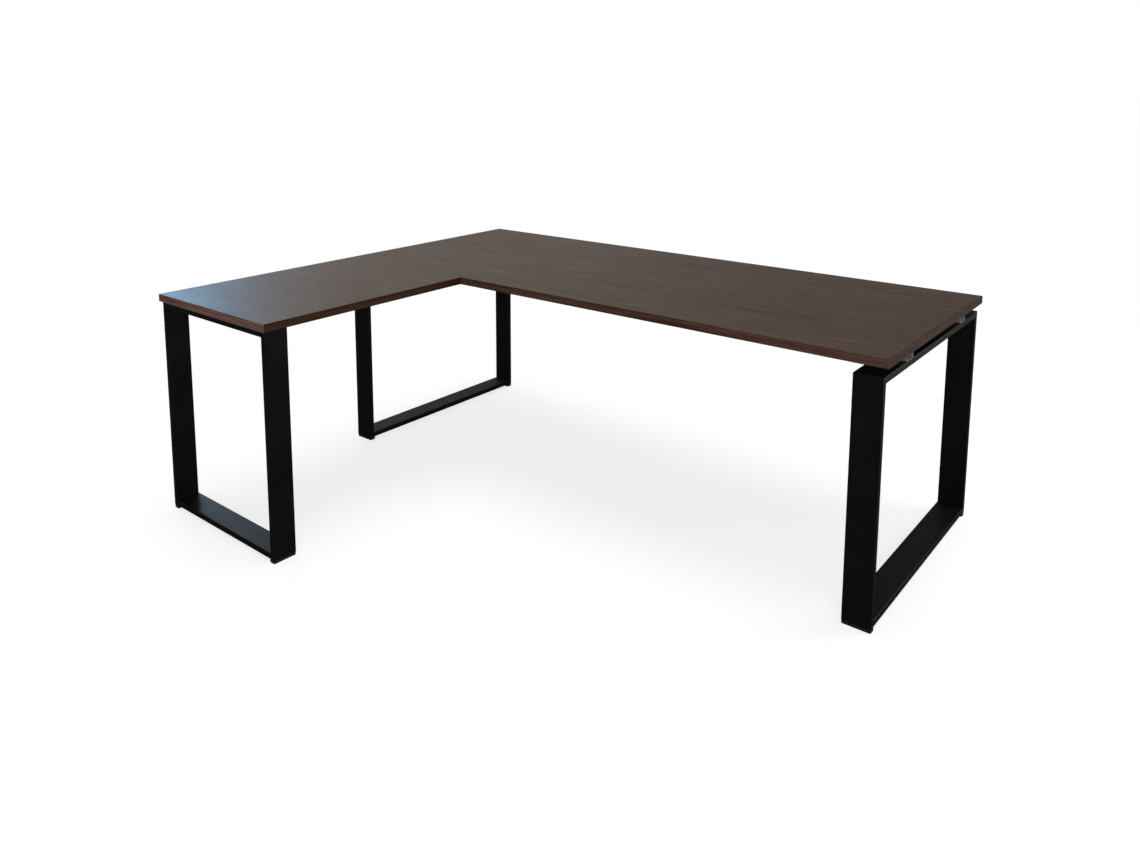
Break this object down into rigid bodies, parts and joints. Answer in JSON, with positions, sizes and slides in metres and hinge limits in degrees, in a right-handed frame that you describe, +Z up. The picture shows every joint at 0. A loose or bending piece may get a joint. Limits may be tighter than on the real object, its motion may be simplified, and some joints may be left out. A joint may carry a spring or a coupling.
{
  "type": "corner desk",
  "caption": "L-shaped corner desk with a dark wood-grain board on closed loop frames of flat black steel tube, joined by beams under the board.",
  "frame": {"origin": "on the floor, below the centre of the desk's outline", "axes": "+X along the long back edge to the right as seen by a person at the desk's open side facing the back, +Y towards the back edge, +Z up"},
  "size_m": [2.1, 1.7, 0.75],
  "materials": {
    "laminate": "satin dark brown wood-grain laminate",
    "edge_band": "satin brown wood-grain edge band",
    "frame_steel": "matt black powder coat",
    "beam_steel": "galvanised steel tube",
    "bracket_steel": "zinc plated sheet steel",
    "pad_plastic": "matt black moulded plastic",
    "zinc_fixings": "zinc plated"
  },
  "bodies": {
    "root": {"desktop_board": "laminate", "edge_band_back": "edge_band", "edge_band_left": "edge_band", "edge_band_right": "edge_band", "edge_band_main_front": "edge_band", "edge_band_return_inner": "edge_band", "edge_band_return_end": "edge_band", "right_frame_top_rail": "frame_steel", "right_frame_bottom_rail": "frame_steel", "right_frame_near_post": "frame_steel", "right_frame_far_post": "frame_steel", "middle_frame_top_rail": "frame_steel", "middle_frame_bottom_rail": "frame_steel", "middle_frame_near_post": "frame_steel", "middle_frame_far_post": "frame_steel", "return_frame_top_rail": "frame_steel", "return_frame_bottom_rail": "frame_steel", "return_frame_left_post": "frame_steel", "return_frame_right_post": "frame_steel", "main_beam_near": "beam_steel", "main_beam_far": "beam_steel", "return_beam_left": "beam_steel", "return_beam_right": "beam_steel", "bracket_left_beam_end_outer": "bracket_steel", "bracket_left_beam_end_inner": "bracket_steel", "bracket_left_beam_root_outer": "bracket_steel", "bracket_left_beam_root_inner": "bracket_steel", "bracket_right_beam_end_outer": "bracket_steel", "bracket_right_beam_end_inner": "bracket_steel", "bracket_right_beam_root_outer": "bracket_steel", "bracket_right_beam_root_inner": "bracket_steel", "glide_pad_right_near": "pad_plastic", "glide_pad_right_far": "pad_plastic", "glide_pad_middle_near": "pad_plastic", "glide_pad_middle_far": "pad_plastic", "glide_pad_return_left": "pad_plastic", "glide_pad_return_right": "pad_plastic", "frame_bolts": "zinc_fixings", "frame_washers": "zinc_fixings", "frame_nuts": "zinc_fixings", "desktop_wood_screws": "zinc_fixings", "bracket_screws": "zinc_fixings", "glide_pad_screws": "zinc_fixings"}
  },
  "joints": []
}
